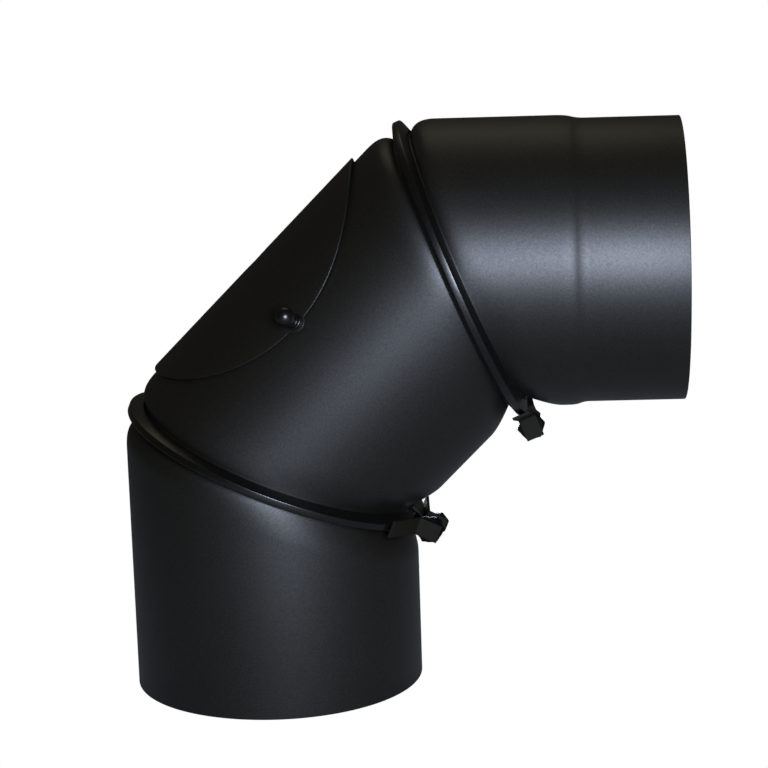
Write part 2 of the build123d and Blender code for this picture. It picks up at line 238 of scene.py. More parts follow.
class StageSizes(bpy.types.PropertyGroup):
    """Camera, floor and lights"""

    azimuth: angle("Azimuth", "Camera to the right of the front", math.radians(2.424))
    elevation: angle("Elevation", "Camera above the horizon", math.radians(12.809))
    roll: angle("Roll", "Turn of the camera about its line of sight", math.radians(-1.892))
    focal: number("Focal", "Focal length in picture widths", 2811.8 / 768)
    distance: length("Distance", "Camera to the middle of the bend", 1.4918)
    shift_x: number("Shift X", "Middle of the bend in picture widths", -19.68 / 768)
    shift_y: number("Shift Y", "Middle of the bend in picture heights", 23.59 / 768)
    sensor: number("Sensor", "Width of the camera's sensor in millimetres", 36.0)
    floor_size: length("Floor size", "Side of the floor", 6.0)
    floor_grey: number("Floor grey", "Grey of the floor for the lights", 0.3)
    floor_rough: number("Floor roughness", "Roughness of the floor", 0.9)
    world_light: number("World light", "Strength of the even light", 0.04)
    world_colour: colour("World colour", "Colour of the even light", (1.0, 0.92, 0.76))
    box_turn: angle("Box turn", "Soft box to the right of the front", math.radians(12.0))
    box_distance: length("Box distance", "Soft box to the middle of the bend", 1.65)
    box_size: length("Box size", "Side of the soft box", 0.6)
    box_power: power("Box power", "Power of the soft box", 43.0)
    box_colour: colour("Box colour", "Colour of the soft box", (0.72, 0.81, 1.0))
    top_place: place("Top place", "Middle of the soft box above", (0.05, 0.9, 1.5))
    top_width: length("Top width", "Width of the soft box above", 1.0)
    top_depth: length("Top depth", "Depth of the soft box above", 0.8)
    top_power: power("Top power", "Power of the soft box above", 1.2)
    top_colour: colour("Top colour", "Colour of the soft box above", (1.0, 0.92, 0.68))
    back_distance: length("Back distance", "Small box behind to the middle of the bend", 0.5)
    back_size: length("Back size", "Side of the small box behind", 0.1)
    back_power: power("Back power", "Power of the small box behind", 1.4)
    back_colour: colour("Back colour", "Colour of the small box behind", (0.8, 0.87, 1.0))


def heading(turn):
    """Unit direction in the plane of the bend, turned from +Z towards +X."""
    return Vector((math.sin(turn), 0.0, math.cos(turn)))


def heel_of(normal):
    """Direction in a joint's plane towards the outside of the bend."""
    return Vector((-normal.z, 0.0, normal.x))


def corners(pipe):
    """Corners of the pipe axis at both joints and the end of the spigot."""
    low = Vector((0.0, 0.0, pipe.lower_length))
    high = low + heading(2 * pipe.tilt) * pipe.middle_length
    reach = pipe.form_height / math.cos(pipe.tilt) + pipe.tube_radius * math.tan(pipe.tilt)
    end = high + heading(4 * pipe.tilt) * (reach + pipe.upper_land + pipe.spigot_step + pipe.spigot_length)
    return low, high, end


def bend_middle(pipe):
    """Middle of the middle pipe's axis."""
    low, high, _ = corners(pipe)
    return (low + high) / 2


def joint(pipe, which):
    """Ring centre and normal of the lower or upper joint."""
    low, high, _ = corners(pipe)
    normal = heading(pipe.tilt if which == "lower" else 3 * pipe.tilt)
    corner = low if which == "lower" else high
    return corner - heel_of(normal) * pipe.joint_offset, normal


def placed(side, other, normal, origin):
    """Matrix with three directions as its axes and an origin."""
    matrix = Matrix((side, other, normal)).transposed().to_4x4()
    matrix.translation = origin
    return matrix


def middle_frame(pipe):
    """Frame of the middle pipe: X to the heel, Y to the front, Z along its axis."""
    axis = heading(2 * pipe.tilt)
    heel = heel_of(axis)
    return placed(heel, axis.cross(heel), axis, bend_middle(pipe))


def smooth_mesh(mesh, smooth_angle):
    """Joins double points, turns faces outwards and sets which edges stay sharp."""
    work = bmesh.new()
    work.from_mesh(mesh)
    bmesh.ops.remove_doubles(work, verts=work.verts, dist=JOIN_DISTANCE)
    bmesh.ops.recalc_face_normals(work, faces=work.faces)
    for edge in work.edges:
        edge.smooth = len(edge.link_faces) == 2 and edge.calc_face_angle(0.0) < smooth_angle
    for face in work.faces:
        face.smooth = True
    work.to_mesh(mesh)
    work.free()


def mesh_object(name, rows, faces, smooth_angle=SMOOTH_ANGLE):
    """New object at the origin from rows of points, with smooth faces and sharp bends."""
    mesh = bpy.data.meshes.new(name)
    mesh.from_pydata([tuple(point) for row in rows for point in row], [], faces)
    mesh.validate()
    obj = bpy.data.objects.new(name, mesh)
    bpy.context.scene.collection.objects.link(obj)
    smooth_mesh(mesh, smooth_angle)
    return obj


def loops_to_faces(rows, columns, closed_rows):
    """Quads between rows of points that each close on themselves."""
    faces = []
    for r in range(rows if closed_rows else rows - 1):
        s = (r + 1) % rows
        for c in range(columns):
            d = (c + 1) % columns
            faces.append((r * columns + c, r * columns + d, s * columns + d, s * columns + c))
    return faces


def rows_object(name, rows, smooth_angle=SMOOTH_ANGLE, closed_rows=True):
    """Object from rows of points, whose last row joins the first one if they close."""
    return mesh_object(name, rows, loops_to_faces(len(rows), len(rows[0]), closed_rows), smooth_angle)


def disc_object(name, rows, first, last):
    """Object from rows of points with a middle point before the first and after the last row."""
    columns, total = len(rows[0]), len(rows) * len(rows[0])
    faces = loops_to_faces(len(rows), columns, False)
    for base, middle in ((0, total), (total - columns, total + 1)):
        for c in range(columns):
            faces.append((base + c, base + (c + 1) % columns, middle))
    return mesh_object(name, [*rows, (first, last)], faces)


def strip_object(name, rows):
    """Object from rows of a strip's profile, its face first and its back in reverse, closed at both ends."""
    columns = len(rows[0])
    faces = loops_to_faces(len(rows), columns, False)
    for base in (0, (len(rows) - 1) * columns):
        for k in range(columns // 2 - 1):
            faces.append((base + k, base + k + 1, base + columns - 2 - k, base + columns - 1 - k))
    return mesh_object(name, rows, faces)


def take_in_modifiers(obj, smooth_angle=SMOOTH_ANGLE):
    """Puts an object's modifiers into its mesh."""
    graph = bpy.context.evaluated_depsgraph_get()
    graph.update()
    mesh = bpy.data.meshes.new_from_object(obj.evaluated_get(graph))
    obj.modifiers.clear()
    old = obj.data
    obj.data = mesh
    bpy.data.meshes.remove(old)
    smooth_mesh(mesh, smooth_angle)


def soften_edges(obj, bevel):
    """Small bevels on the sharp edges of a piece."""
    soft = obj.modifiers.new("edges", "BEVEL")
    soft.width = bevel
    soft.segments = BEVEL_SEGMENTS
    soft.limit_method = "ANGLE"
    soft.angle_limit = BEVEL_ANGLE
    soft.harden_normals = True


def finish_piece(obj, body, slot, material, *nodes):
    """Gives a piece its body, its material and the nodes it stands for; the slot is not used."""
    obj.data.materials.clear()
    obj.data.materials.append(bpy.data.materials[material])
    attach(obj, body)
    if nodes:
        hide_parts(*nodes)


def finish_node(name, material, bevel=0.0):
    """Material and softened edges for a CAD node that is shown as it is."""
    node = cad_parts[name]
    node.data.materials.clear()
    node.data.materials.append(bpy.data.materials[material])
    if bevel > 0:
        soften_edges(node, bevel)


def angles_round(columns):
    """Angles of the points round a circle."""
    return [FULL_TURN * c / columns for c in range(columns)]


def round_corner(before, corner, after, radius):
    """Points of an arc that rounds a corner of a profile."""
    corner = Vector(corner)
    to_before, to_after = Vector(before) - corner, Vector(after) - corner
    u, v = to_before.normalized(), to_after.normalized()
    half = u.angle(v) / 2
    if half > STRAIGHT_HALF:
        return [corner]
    cut = min(radius / math.tan(half), to_before.length * SIDE_SHARE, to_after.length * SIDE_SHARE)
    centre = corner + (u + v).normalized() * (cut / math.cos(half))
    arm = corner + u * cut - centre
    sweep = math.pi - 2 * half
    turn = sweep if u.x * v.y - u.y * v.x < 0 else -sweep
    return [centre + Matrix.Rotation(turn * k / CORNER_STEPS, 2) @ arm for k in range(CORNER_STEPS + 1)]


def round_row(origin, heel, columns, shift, long_radius, short_radius):
    """Row of points on an ellipse that is shifted towards the heel."""
    row = []
    for turn in angles_round(columns):
        across = Vector((0, short_radius * math.sin(turn), 0))
        row.append(origin + heel * (shift + long_radius * math.cos(turn)) + across)
    return row


def pipe_rows(origin, axis, heel, profile, columns):
    """Rows of a round profile of (along, radius) points about an axis."""
    return [round_row(origin + axis * p.x, heel, columns, 0.0, p.y, p.y) for p in profile]


def rolled_row(matrix, radius, surface_radius, reaches):
    """Row of a flat blank that is rolled to a radius, from its points' distances to the middle."""
    row = []
    for turn, reach in zip(angles_round(len(reaches)), reaches):
        bend, along = reach * math.cos(turn) / surface_radius, reach * math.sin(turn)
        row.append(matrix @ Vector((radius * math.cos(bend), radius * math.sin(bend), along)))
    return row


def formed_sizes(pipe, radius, inset, height):
    """Centre shift and two radii of a formed end at a height above the joint."""
    step = (pipe.form_height - height) / (pipe.form_height - pipe.neck_height)
    full = 1 - math.sqrt(1 - pipe.fullness)
    share = (1 - math.sqrt(1 - pipe.fullness * step**2)) / full
    shift = (1 - share) * (pipe.joint_offset - height * math.tan(pipe.tilt))
    round_radius = pipe.neck_radius - inset
    long_radius = (1 - share) * (radius - inset) / math.cos(pipe.tilt) + share * round_radius
    short_radius = (1 - share) * (radius - inset) + share * round_radius
    return shift, long_radius, short_radius


def end_rows(pipe, which, into, radius):
    """Rows of an oblique end from the outside of the pipe over the lip to its inside."""
    origin, normal = joint(pipe, which)
    heel = heel_of(normal)

    def row(height, shift, long_radius, short_radius):
        middle = origin + normal * (into * height)
        return round_row(middle, heel, pipe.columns, shift, long_radius, short_radius)

    def formed_row(inset, share):
        height = pipe.form_height + (pipe.neck_height - pipe.form_height) * share
        return row(height, *formed_sizes(pipe, radius, inset, height))

    face, top, high = pipe.lip_face, pipe.lip_face + pipe.lip_sheet, pipe.neck_height
    neck, lip, bore = pipe.neck_radius, pipe.lip_radius, pipe.neck_radius - pipe.wall
    profile = round_corner((neck, high), (neck, top), (lip, top), pipe.lip_root)
    profile += round_corner((neck, top), (lip, top), (lip, face), pipe.edge)
    profile += round_corner((lip, top), (lip, face), (bore, face), pipe.edge)
    profile += round_corner((lip, face), (bore, face), (bore, high), pipe.lip_mouth)
    shares = [math.sin(QUARTER_TURN * k / FORM_STEPS) for k in range(FORM_STEPS + 1)]
    rows = [formed_row(0.0, share) for share in shares]
    rows += [row(p.y, 0.0, p.x, p.x) for p in profile]
    rows += [formed_row(pipe.wall, share) for share in reversed(shares)]
    return rows


def base_material(name):
    """New node material with its shader and object coordinates."""
    material = bpy.data.materials.new(name)
    material.use_nodes = True
    tree = material.node_tree
    coordinates = tree.nodes.new("ShaderNodeTexCoord")
    return tree, tree.nodes["Principled BSDF"], coordinates.outputs["Object"]


def noise(tree, coordinates, scale, detail):
    """Value of a noise texture on object coordinates."""
    node = tree.nodes.new("ShaderNodeTexNoise")
    node.inputs["Scale"].default_value = scale
    node.inputs["Detail"].default_value = detail
    tree.links.new(coordinates, node.inputs["Vector"])
    return node.outputs["Fac"]


def ramp(tree, source, reach, result):
    """Maps a range of values to another."""
    node = tree.nodes.new("ShaderNodeMapRange")
    node.inputs["From Min"].default_value, node.inputs["From Max"].default_value = reach
    node.inputs["To Min"].default_value, node.inputs["To Max"].default_value = result
    tree.links.new(source, node.inputs["Value"])
    return node.outputs["Result"]


def blend(tree, factor, dark, light):
    """Mixing node between two colours."""
    node = tree.nodes.new("ShaderNodeMix")
    node.data_type = "RGBA"
    node.inputs["A"].default_value = (*dark, 1.0)
    node.inputs["B"].default_value = (*light, 1.0)
    tree.links.new(factor, node.inputs["Factor"])
    return node


def bump_node(tree, height, strength, depth):
    """Bump from a noise."""
    node = tree.nodes.new("ShaderNodeBump")
    node.inputs["Strength"].default_value = strength
    node.inputs["Distance"].default_value = depth
    tree.links.new(height, node.inputs["Height"])
    return node


def spread(tree):
    """Sets the nodes apart so that they can be read."""
    for k, node in enumerate(tree.nodes):
        node.location = (-250 * (k - 1), -60 * k)


def paint_material(name, dark, light, rough, gloss, fleck, grained):
    """Satin paint with faint clouds, small flecks, orange peel and, if grained, a fine grain in its sheen."""
    tree, shader, coordinates = base_material(name)
    clouds = noise(tree, coordinates, *CLOUDS)
    grain = noise(tree, coordinates, *GRAIN)
    peel = noise(tree, coordinates, *PEEL)
    cloudy = blend(tree, clouds, dark, light)
    flecked = blend(tree, ramp(tree, grain, FLECK_RANGE, (0.0, FLECK_STRENGTH)), dark, fleck)
    tree.links.new(cloudy.outputs["Result"], flecked.inputs["A"])
    tree.links.new(flecked.outputs["Result"], shader.inputs["Base Color"])
    tree.links.new(ramp(tree, clouds, CLOUD_RANGE, rough), shader.inputs["Roughness"])
    shader.inputs["IOR"].default_value = 1.5
    shader.inputs["Specular IOR Level"].default_value = gloss
    if grained:
        swing = (gloss * (1 - SHEEN_SWING), gloss * (1 + SHEEN_SWING))
        sheen = ramp(tree, noise(tree, coordinates, *SPARKLE), SHEEN_RANGE, swing)
        tree.links.new(sheen, shader.inputs["Specular IOR Level"])
    coarse = bump_node(tree, peel, *PEEL_BUMP)
    fine = bump_node(tree, grain, *GRAIN_BUMP)
    tree.links.new(coarse.outputs["Normal"], fine.inputs["Normal"])
    tree.links.new(fine.outputs["Normal"], shader.inputs["Normal"])
    spread(tree)


def steel_material(name, dark, light, rough):
    """Plain steel with a worn grain."""
    tree, shader, coordinates = base_material(name)
    worn = noise(tree, coordinates, *WORN)
    tree.links.new(blend(tree, worn, dark, light).outputs["Result"], shader.inputs["Base Color"])
    tree.links.new(ramp(tree, worn, CLOUD_RANGE, rough), shader.inputs["Roughness"])
    shader.inputs["Metallic"].default_value = 1.0
    spread(tree)


def fibre_material(name, dark, light, rough, gloss):
    """Near-black fibre of the seal; the near-black is painted shade for the gap under the door's edge."""
    tree, shader, coordinates = base_material(name)
    weave = noise(tree, coordinates, *WEAVE)
    tree.links.new(blend(tree, weave, dark, light).outputs["Result"], shader.inputs["Base Color"])
    shader.inputs["Roughness"].default_value = rough
    shader.inputs["Specular IOR Level"].default_value = gloss
    bump = bump_node(tree, weave, *WEAVE_BUMP)
    tree.links.new(bump.outputs["Normal"], shader.inputs["Normal"])
    spread(tree)


class ELBOW_OT_materials(bpy.types.Operator):
    """Makes the paint, steel and seal materials"""

    bl_idname = "elbow.materials"
    bl_label = "Make materials"

    def execute(self, context):
        looks = context.scene.elbow_looks
        paints = (
            ("elbow_paint", looks.paint_dark, looks.paint_light, looks.paint_rough, looks.paint_gloss, True),
            ("ring_paint", looks.ring_dark, looks.ring_light, looks.ring_rough, looks.paint_gloss, True),
            ("lug_paint", looks.lug_dark, looks.lug_light, looks.lug_rough, looks.lug_gloss, False),
            ("black_fastener", looks.black_dark, looks.black_light, looks.black_rough, looks.black_gloss, False),
        )
        for name, dark, light, rough, gloss, grained in paints:
            paint_material(name, dark, light, rough, gloss, looks.fleck, grained)
        steel_material("spring_steel", looks.spring_dark, looks.spring_light, looks.spring_rough)
        # The seal's material is painted shade for the gap under the door's edge.
        fibre_material("seal_fibre", looks.seal_shade_dark, looks.seal_shade_light, looks.seal_rough, looks.seal_gloss)
        return {"FINISHED"}


class ELBOW_OT_segments(bpy.types.Operator):
    """Builds the three pipe segments"""

    bl_idname = "elbow.segments"
    bl_label = "Build segments"

    def execute(self, context):
        pipe, door = context.scene.elbow_pipe, context.scene.elbow_door

        depth, bore = pipe.socket_depth, pipe.lower_radius - pipe.wall
        rim = [Vector((depth, bore)), Vector((depth, pipe.socket_radius))]
        rim += self.rim(depth, pipe.socket_radius, pipe.lower_radius, pipe.edge)
        rows = pipe_rows(Vector(), heading(0), Vector((-1, 0, 0)), rim, pipe.columns)
        rows += end_rows(pipe, "lower", -1, pipe.lower_radius)
        finish_piece(rows_object("lower_pipe", rows), "lower", "stove_paint", "elbow_paint", "lower_segment")

        rows = end_rows(pipe, "lower", 1, pipe.tube_radius)[::-1]
        rows += end_rows(pipe, "upper", -1, pipe.tube_radius)
        middle = rows_object("middle_pipe", rows)
        self.cut_opening(middle, pipe, door)
        finish_piece(middle, "middle", "stove_paint", "elbow_paint", "middle_segment")

        end, axis, heel = corners(pipe)[2], heading(4 * pipe.tilt), Vector((0, 0, 1))
        rim = self.rim(-pipe.spigot_length, pipe.spigot_radius - pipe.wall, pipe.spigot_radius, pipe.edge)
        rows = end_rows(pipe, "upper", 1, pipe.tube_radius)
        rows += self.step_rows(pipe, end, axis, heel, pipe.wall)
        rows += pipe_rows(end, axis, heel, rim, pipe.columns)
        rows += self.step_rows(pipe, end, axis, heel, 0.0)[::-1]
        finish_piece(rows_object("upper_pipe", rows), "upper", "stove_paint", "elbow_paint", "upper_segment")
        return {"FINISHED"}

    def rim(self, inwards, inner, outer, edge):
        """Profile of a pipe's end with rounded edges."""
        points = round_corner((inwards, inner), (0, inner), (0, outer), edge)
        return points + round_corner((0, inner), (0, outer), (inwards, outer), edge)

    def step_rows(self, pipe, end, axis, heel, inset):
        """Rows of the step down to the spigot, which starts softly where the body leaves room for it."""
        drop = pipe.tube_radius - pipe.spigot_radius
        bend, late = pipe.step_bend, pipe.step_power
        whole = bend / late + (1 - bend) / 2
        rows = []
        for k in range(SPIGOT_STEPS + 1):
            share = k / SPIGOT_STEPS
            if share < bend:
                ease = bend / late * (share / bend) ** late / whole
            else:
                ease = 1 - (1 - share) ** 2 / (2 * (1 - bend) * whole)
            radius = pipe.tube_radius - inset - drop * ease
            row = []
            for turn in angles_round(pipe.columns):
                room = pipe.tube_radius * math.tan(pipe.tilt) * (1 + math.cos(turn))
                reach = pipe.spigot_step + min(pipe.step_lead, room / 2)
                along = reach * (share - 1) - pipe.spigot_length
                across = Vector((0, radius * math.sin(turn), 0))
                row.append(end + axis * along + heel * (radius * math.cos(turn)) + across)
            rows.append(row)
        return rows

    def cut_opening(self, middle, pipe, door):
        """Cuts the round cleaning opening with square edges."""
        matrix = middle_frame(pipe)
        low, high = pipe.tube_radius - 2 * pipe.wall, pipe.tube_radius + pipe.wall
        levels = [(low, share) for share in PUNCH_SHARES] + [(high, share) for share in reversed(PUNCH_SHARES)]
        rows = []
        for radius, share in levels:
            rows.append(rolled_row(matrix, radius, pipe.tube_radius, [door.opening * share] * OPENING_COLUMNS))
        punch = disc_object("punch", rows, matrix @ Vector((low, 0, 0)), matrix @ Vector((high, 0, 0)))
        cut = middle.modifiers.new("opening", "BOOLEAN")
        cut.operation = "DIFFERENCE"
        cut.solver = "EXACT"
        cut.object = punch
        take_in_modifiers(middle)
        bpy.data.objects.remove(punch)


def thread_tree():
    """Geometry nodes that repeat one thread turn along a bolt."""
    tree = bpy.data.node_groups.new("bolt_thread", "GeometryNodeTree")
    for name, kind in (("Geometry", "Geometry"), ("Turns", "Int"), ("Pitch", "Float"), ("Material", "Material")):
        tree.interface.new_socket(name, in_out="INPUT", socket_type="NodeSocket" + kind)
    tree.interface.new_socket("Geometry", in_out="OUTPUT", socket_type="NodeSocketGeometry")
    source = tree.nodes.new("NodeGroupInput")
    offset = tree.nodes.new("ShaderNodeCombineXYZ")
    line = tree.nodes.new("GeometryNodeMeshLine")
    repeat = tree.nodes.new("GeometryNodeInstanceOnPoints")
    real = tree.nodes.new("GeometryNodeRealizeInstances")
    paint = tree.nodes.new("GeometryNodeSetMaterial")
    result = tree.nodes.new("NodeGroupOutput")
    links = (
        (source, "Pitch", offset, "Z"),
        (source, "Turns", line, "Count"),
        (offset, "Vector", line, "Offset"),
        (line, "Mesh", repeat, "Points"),
        (source, "Geometry", repeat, "Instance"),
        (repeat, "Instances", real, "Geometry"),
        (real, "Geometry", paint, "Geometry"),
        (source, "Material", paint, "Material"),
        (paint, "Geometry", result, "Geometry"),
    )
    for start, output, stop, entry in links:
        tree.links.new(start.outputs[output], stop.inputs[entry])
    spread(tree)
    return tree


class ELBOW_OT_clamps(bpy.types.Operator):
    """Builds the two clamp rings with their front lugs and nuts and finishes rear lugs and bolts"""

    bl_idname = "elbow.clamps"
    bl_label = "Build clamps"

    def execute(self, context):
        pipe, clamp = context.scene.elbow_pipe, context.scene.elbow_clamp
        tree = thread_tree()
        for which, body, turn in (("lower", "lower", clamp.lower_turn), ("upper", "middle", clamp.upper_turn)):
            origin, normal = joint(pipe, which)
            out = heel_of(normal) * -math.cos(turn) + Vector((0, -math.sin(turn), 0))
            matrix = placed(out, out.cross(normal), -normal, origin)
            ring = self.ring(which + "_ring", matrix, clamp, pipe.columns)
            finish_piece(ring, body, "stove_paint", "ring_paint", which + "_clamp_ring")
            lug = self.front_lug(which + "_front_strip", matrix, clamp)
            finish_piece(lug, body, "stove_paint", "lug_paint", which + "_front_lug")
            soften_edges(lug, clamp.lug_bevel)
            finish_node(which + "_rear_lug", "lug_paint", clamp.lug_bevel)
            finish_node(which + "_clamp_bolt", "black_fastener")
            nut = self.nut(which + "_hex_nut", matrix, clamp)
            finish_piece(nut, body, "fastener", "black_fastener", which + "_clamp_nut")
            thread = self.thread(which + "_thread", matrix, clamp, tree)
            finish_piece(thread, body, "fastener", "black_fastener")
        return {"FINISHED"}

    def channel(self, low, wide, high, narrow, corner):
        """Side of the ring's channel with its two bends rounded."""
        profile = [Vector((low, wide))]
        profile += round_corner((low, wide), (high, narrow), (high, -narrow), corner)
        profile += round_corner((high, narrow), (high, -narrow), (low, -wide), corner)
        return profile + [Vector((low, -wide))]

    def ring(self, name, matrix, clamp, columns):
        """Split ring of bent channel with rounded bends."""
        base, top, deep = clamp.base_radius, clamp.outer_radius, clamp.outer_radius - clamp.sheet
        slope = (clamp.base_half - clamp.top_half) / (top - base)
        groove = clamp.base_half - clamp.sheet * math.sqrt(1 + slope * slope)
        groove_top = groove - slope * (deep - base)
        outer = self.channel(base, clamp.base_half, top, clamp.top_half, clamp.corner)
        inner = self.channel(base, groove, deep, groove_top, clamp.corner / 2)
        rows = []
        for c in range(columns + 1):
            row = []
            for p in outer + inner[::-1]:
                start = math.asin(clamp.split / 2 / p.x)
                turn = start + (FULL_TURN - 2 * start) * c / columns
                row.append(matrix @ Vector((p.x * math.cos(turn), p.x * math.sin(turn), p.y)))
            rows.append(row)
        return strip_object(name, rows)

    def front_lug(self, name, matrix, clamp):
        """Bent strip: a leg along the ring and a square ear that covers the nut."""
        sheet, bend = clamp.lug_sheet, clamp.lug_bend
        turn = (clamp.lug_spacing + clamp.lug_leg) / 2 / clamp.outer_radius
        along = Vector((-math.sin(turn), math.cos(turn)))
        seat = Vector((math.cos(turn), math.sin(turn))) * (clamp.outer_radius + clamp.weld_gap + sheet)
        ear_face = clamp.lug_spacing / 2 + sheet
        foot = seat + along * ((ear_face - seat.y) / along.y)
        leg_end = foot + along * clamp.lug_leg
        ear_end = Vector((clamp.outer_radius + clamp.ear_reach, ear_face))
        under_ear, under_leg = Vector((0, -1)), Vector((-along.y, along.x))
        under_foot = foot + (under_ear + under_leg) * (sheet / (1 + under_ear.dot(under_leg)))
        under_ends = ear_end + under_ear * sheet, leg_end + under_leg * sheet
        outer = [ear_end, *round_corner(ear_end, foot, leg_end, bend), leg_end]
        inner = round_corner(under_ends[0], under_foot, under_ends[1], bend + sheet)
        profile = outer + [under_ends[1], *inner[::-1], under_ends[0]]
        half = clamp.lug_width / 2
        return strip_object(name, [[matrix @ Vector((p.x, p.y, z)) for p in profile] for z in (-half, half)])

    def nut(self, name, matrix, clamp):
        """Hexagon nut against the inside of the front ear, its corners to both sides of the ear."""
        side, flat = FULL_TURN / 6, clamp.nut_flats / 2
        high, bevel = clamp.nut_height, clamp.nut_bevel
        turns = angles_round(NUT_COLUMNS)
        hexagon = [flat / math.cos(turn % side - side / 2) for turn in turns]
        turned, bore = [flat] * NUT_COLUMNS, [clamp.nut_bore] * NUT_COLUMNS
        levels = ((0, turned), (bevel, hexagon), (high - bevel, hexagon), (high, turned), (high, bore), (0, bore))
        rows = []
        for along, radii in levels:
            row = []
            for turn, radius in zip(turns, radii):
                x, z = radius * math.sin(turn + clamp.nut_turn), radius * math.cos(turn + clamp.nut_turn)
                row.append(matrix @ Vector((clamp.bolt_radius + x, clamp.lug_spacing / 2 - along, z)))
            rows.append(row)
        return rows_object(name, rows, THREAD_ANGLE)

    def thread(self, name, matrix, clamp, tree):
        """Thread turns on the part of the bolt between the lugs."""
        crest, root = clamp.bolt_size / 2 + clamp.thread_rise, clamp.bolt_size / 2 - clamp.thread_depth
        half = clamp.thread_pitch / 2
        flat = half * clamp.crest_share
        turns = angles_round(THREAD_COLUMNS)
        rows = []
        for radius, along in ((root, -half), (crest, -flat), (crest, flat), (root, half)):
            rows.append([(radius * math.cos(turn), radius * math.sin(turn), along) for turn in turns])
        obj = rows_object(name, rows, THREAD_ANGLE)
        modifier = obj.modifiers.new("thread", "NODES")
        modifier.node_group = tree
        sockets = {item.name: item.identifier for item in tree.interface.items_tree if item.in_out == "INPUT"}
        modifier[sockets["Turns"]] = clamp.thread_turns
        modifier[sockets["Pitch"]] = clamp.thread_pitch
        modifier[sockets["Material"]] = bpy.data.materials["black_fastener"]
        take_in_modifiers(obj, THREAD_ANGLE)
        start = -clamp.thread_pitch * (clamp.thread_turns - 1) / 2
        bolt = matrix @ Matrix.Translation((clamp.bolt_radius, 0, 0)) @ Matrix.Rotation(QUARTER_TURN, 4, "X")
        obj.data.transform(bolt @ Matrix.Translation((0, 0, start)))
        return obj


class ELBOW_OT_door(bpy.types.Operator):
    """Builds the cleaning door with its knob and seal and finishes its hinge and clip"""

    bl_idname = "elbow.door"
    bl_label = "Build door"

    def execute(self, context):
        door, matrix = context.scene.elbow_door, middle_frame(context.scene.elbow_pipe)
        finish_piece(self.leaf(matrix, door), "door", "stove_paint", "elbow_paint", "door_leaf")
        finish_piece(self.knob(matrix, door), "door", "stove_paint", "ring_paint", "ball_knob")
        # The seal's near-black material is painted shade for the gap under the door's edge.
        finish_piece(self.seal(matrix, door), "door", "seal", "seal_fibre", "door_seal")
        finish_node("door_clip", "spring_steel")
        finish_node("hinge_strap", "elbow_paint")
        finish_node("hinge_bracket", "elbow_paint")
        finish_node("hinge_pin", "black_fastener", door.pin_bevel)
        return {"FINISHED"}

    def rim(self, door, turn):
        """Radius of the door's flat blank in a direction, a little longer at its lower end."""
        reach = door.radius if math.sin(turn) > 0 else door.lower_reach
        return 1 / math.hypot(math.cos(turn) / door.radius, math.sin(turn) / reach)

    def outline(self, door, turn):
        """Radius of the door's flat outline in a direction, with the tab under the knob."""
        centre = Vector((door.radius - door.knob_inset, door.knob_shift))
        toward = Vector((math.cos(turn), math.sin(turn)))
        along = centre.dot(toward)
        across = centre.x * toward.y - centre.y * toward.x
        rim = self.rim(door, turn)
        if along < 0 or abs(across) >= door.tab_radius:
            return rim
        return max(rim, along + math.sqrt(door.tab_radius**2 - across**2))

    def leaf(self, matrix, door):
        """Round blank with its tab, rolled to the pipe, with softened edges."""
        inner, outer = door.inner_radius, door.inner_radius + door.sheet
        edge, under = door.edge, door.under_edge
        quarter = [QUARTER_TURN * k / CORNER_STEPS for k in range(CORNER_STEPS + 1)]
        profile = [(0.0, outer, share) for share in LEAF_SHARES]
        profile += [(edge * (1 - math.sin(t)), outer - edge * (1 - math.cos(t)), 1.0) for t in quarter]
        profile += [(under * (1 - math.cos(t)), inner + under * (1 - math.sin(t)), 1.0) for t in quarter]
        profile += [(0.0, inner, share) for share in reversed(LEAF_SHARES)]
        reaches = [self.outline(door, turn) for turn in angles_round(DOOR_COLUMNS)]
        rows = []
        for inset, radius, share in profile:
            rows.append(rolled_row(matrix, radius, inner, [(reach - inset) * share for reach in reaches]))
        return disc_object("cleaning_door", rows, matrix @ Vector((outer, 0, 0)), matrix @ Vector((inner, 0, 0)))

    def seal(self, matrix, door):
        """Flat fibre ring under the rim of the door; its near-black colour is painted shade for the gap under the
        door's edge.
        """
        start, stop = door.seal_inset, door.seal_inset + door.seal_width
        high, low = door.inner_radius, door.inner_radius - door.seal_sheet
        reaches = [self.rim(door, turn) for turn in angles_round(SEAL_COLUMNS)]
        rows = []
        for inset, radius in ((start, high), (start, low), (stop, low), (stop, high)):
            rows.append(rolled_row(matrix, radius, high, [reach - inset for reach in reaches]))
        return rows_object("rim_seal", rows)

    def knob(self, matrix, door):
        """Turned ball knob with neck, collar and rivet."""
        rivet, neck = door.rivet_radius, door.neck_radius
        collar, high = door.collar_radius, door.collar_height
        profile = [Vector((0, -door.sheet)), Vector((rivet, -door.sheet)), Vector((rivet, 0))]
        profile += round_corner((rivet, 0), (collar, 0), (collar, high), door.collar_foot)
        profile += round_corner((collar, 0), (collar, high), (neck, high), door.collar_round)
        profile += round_corner((collar, high), (neck, high), (neck, door.ball_height), door.collar_round)
        start = math.asin(neck / door.ball_radius)
        for k in range(BALL_STEPS + 1):
            turn = start + (math.pi - start) * k / BALL_STEPS
            height = door.ball_height - door.ball_radius * math.cos(turn)
            profile.append(Vector((door.ball_radius * math.sin(turn), height)))
        tab = (door.radius - door.knob_inset) / door.inner_radius
        out, side = Vector((math.cos(tab), math.sin(tab), 0)), Vector((0, 0, 1))
        other = out.cross(side)
        origin = out * (door.inner_radius + door.sheet) + side * door.knob_shift
        rows = []
        for p in profile:
            row = []
            for turn in angles_round(KNOB_COLUMNS):
                spoke = side * math.cos(turn) + other * math.sin(turn)
                row.append(matrix @ (origin + out * p.y + spoke * p.x))
            rows.append(row)
        return rows_object("knob", rows, closed_rows=False)


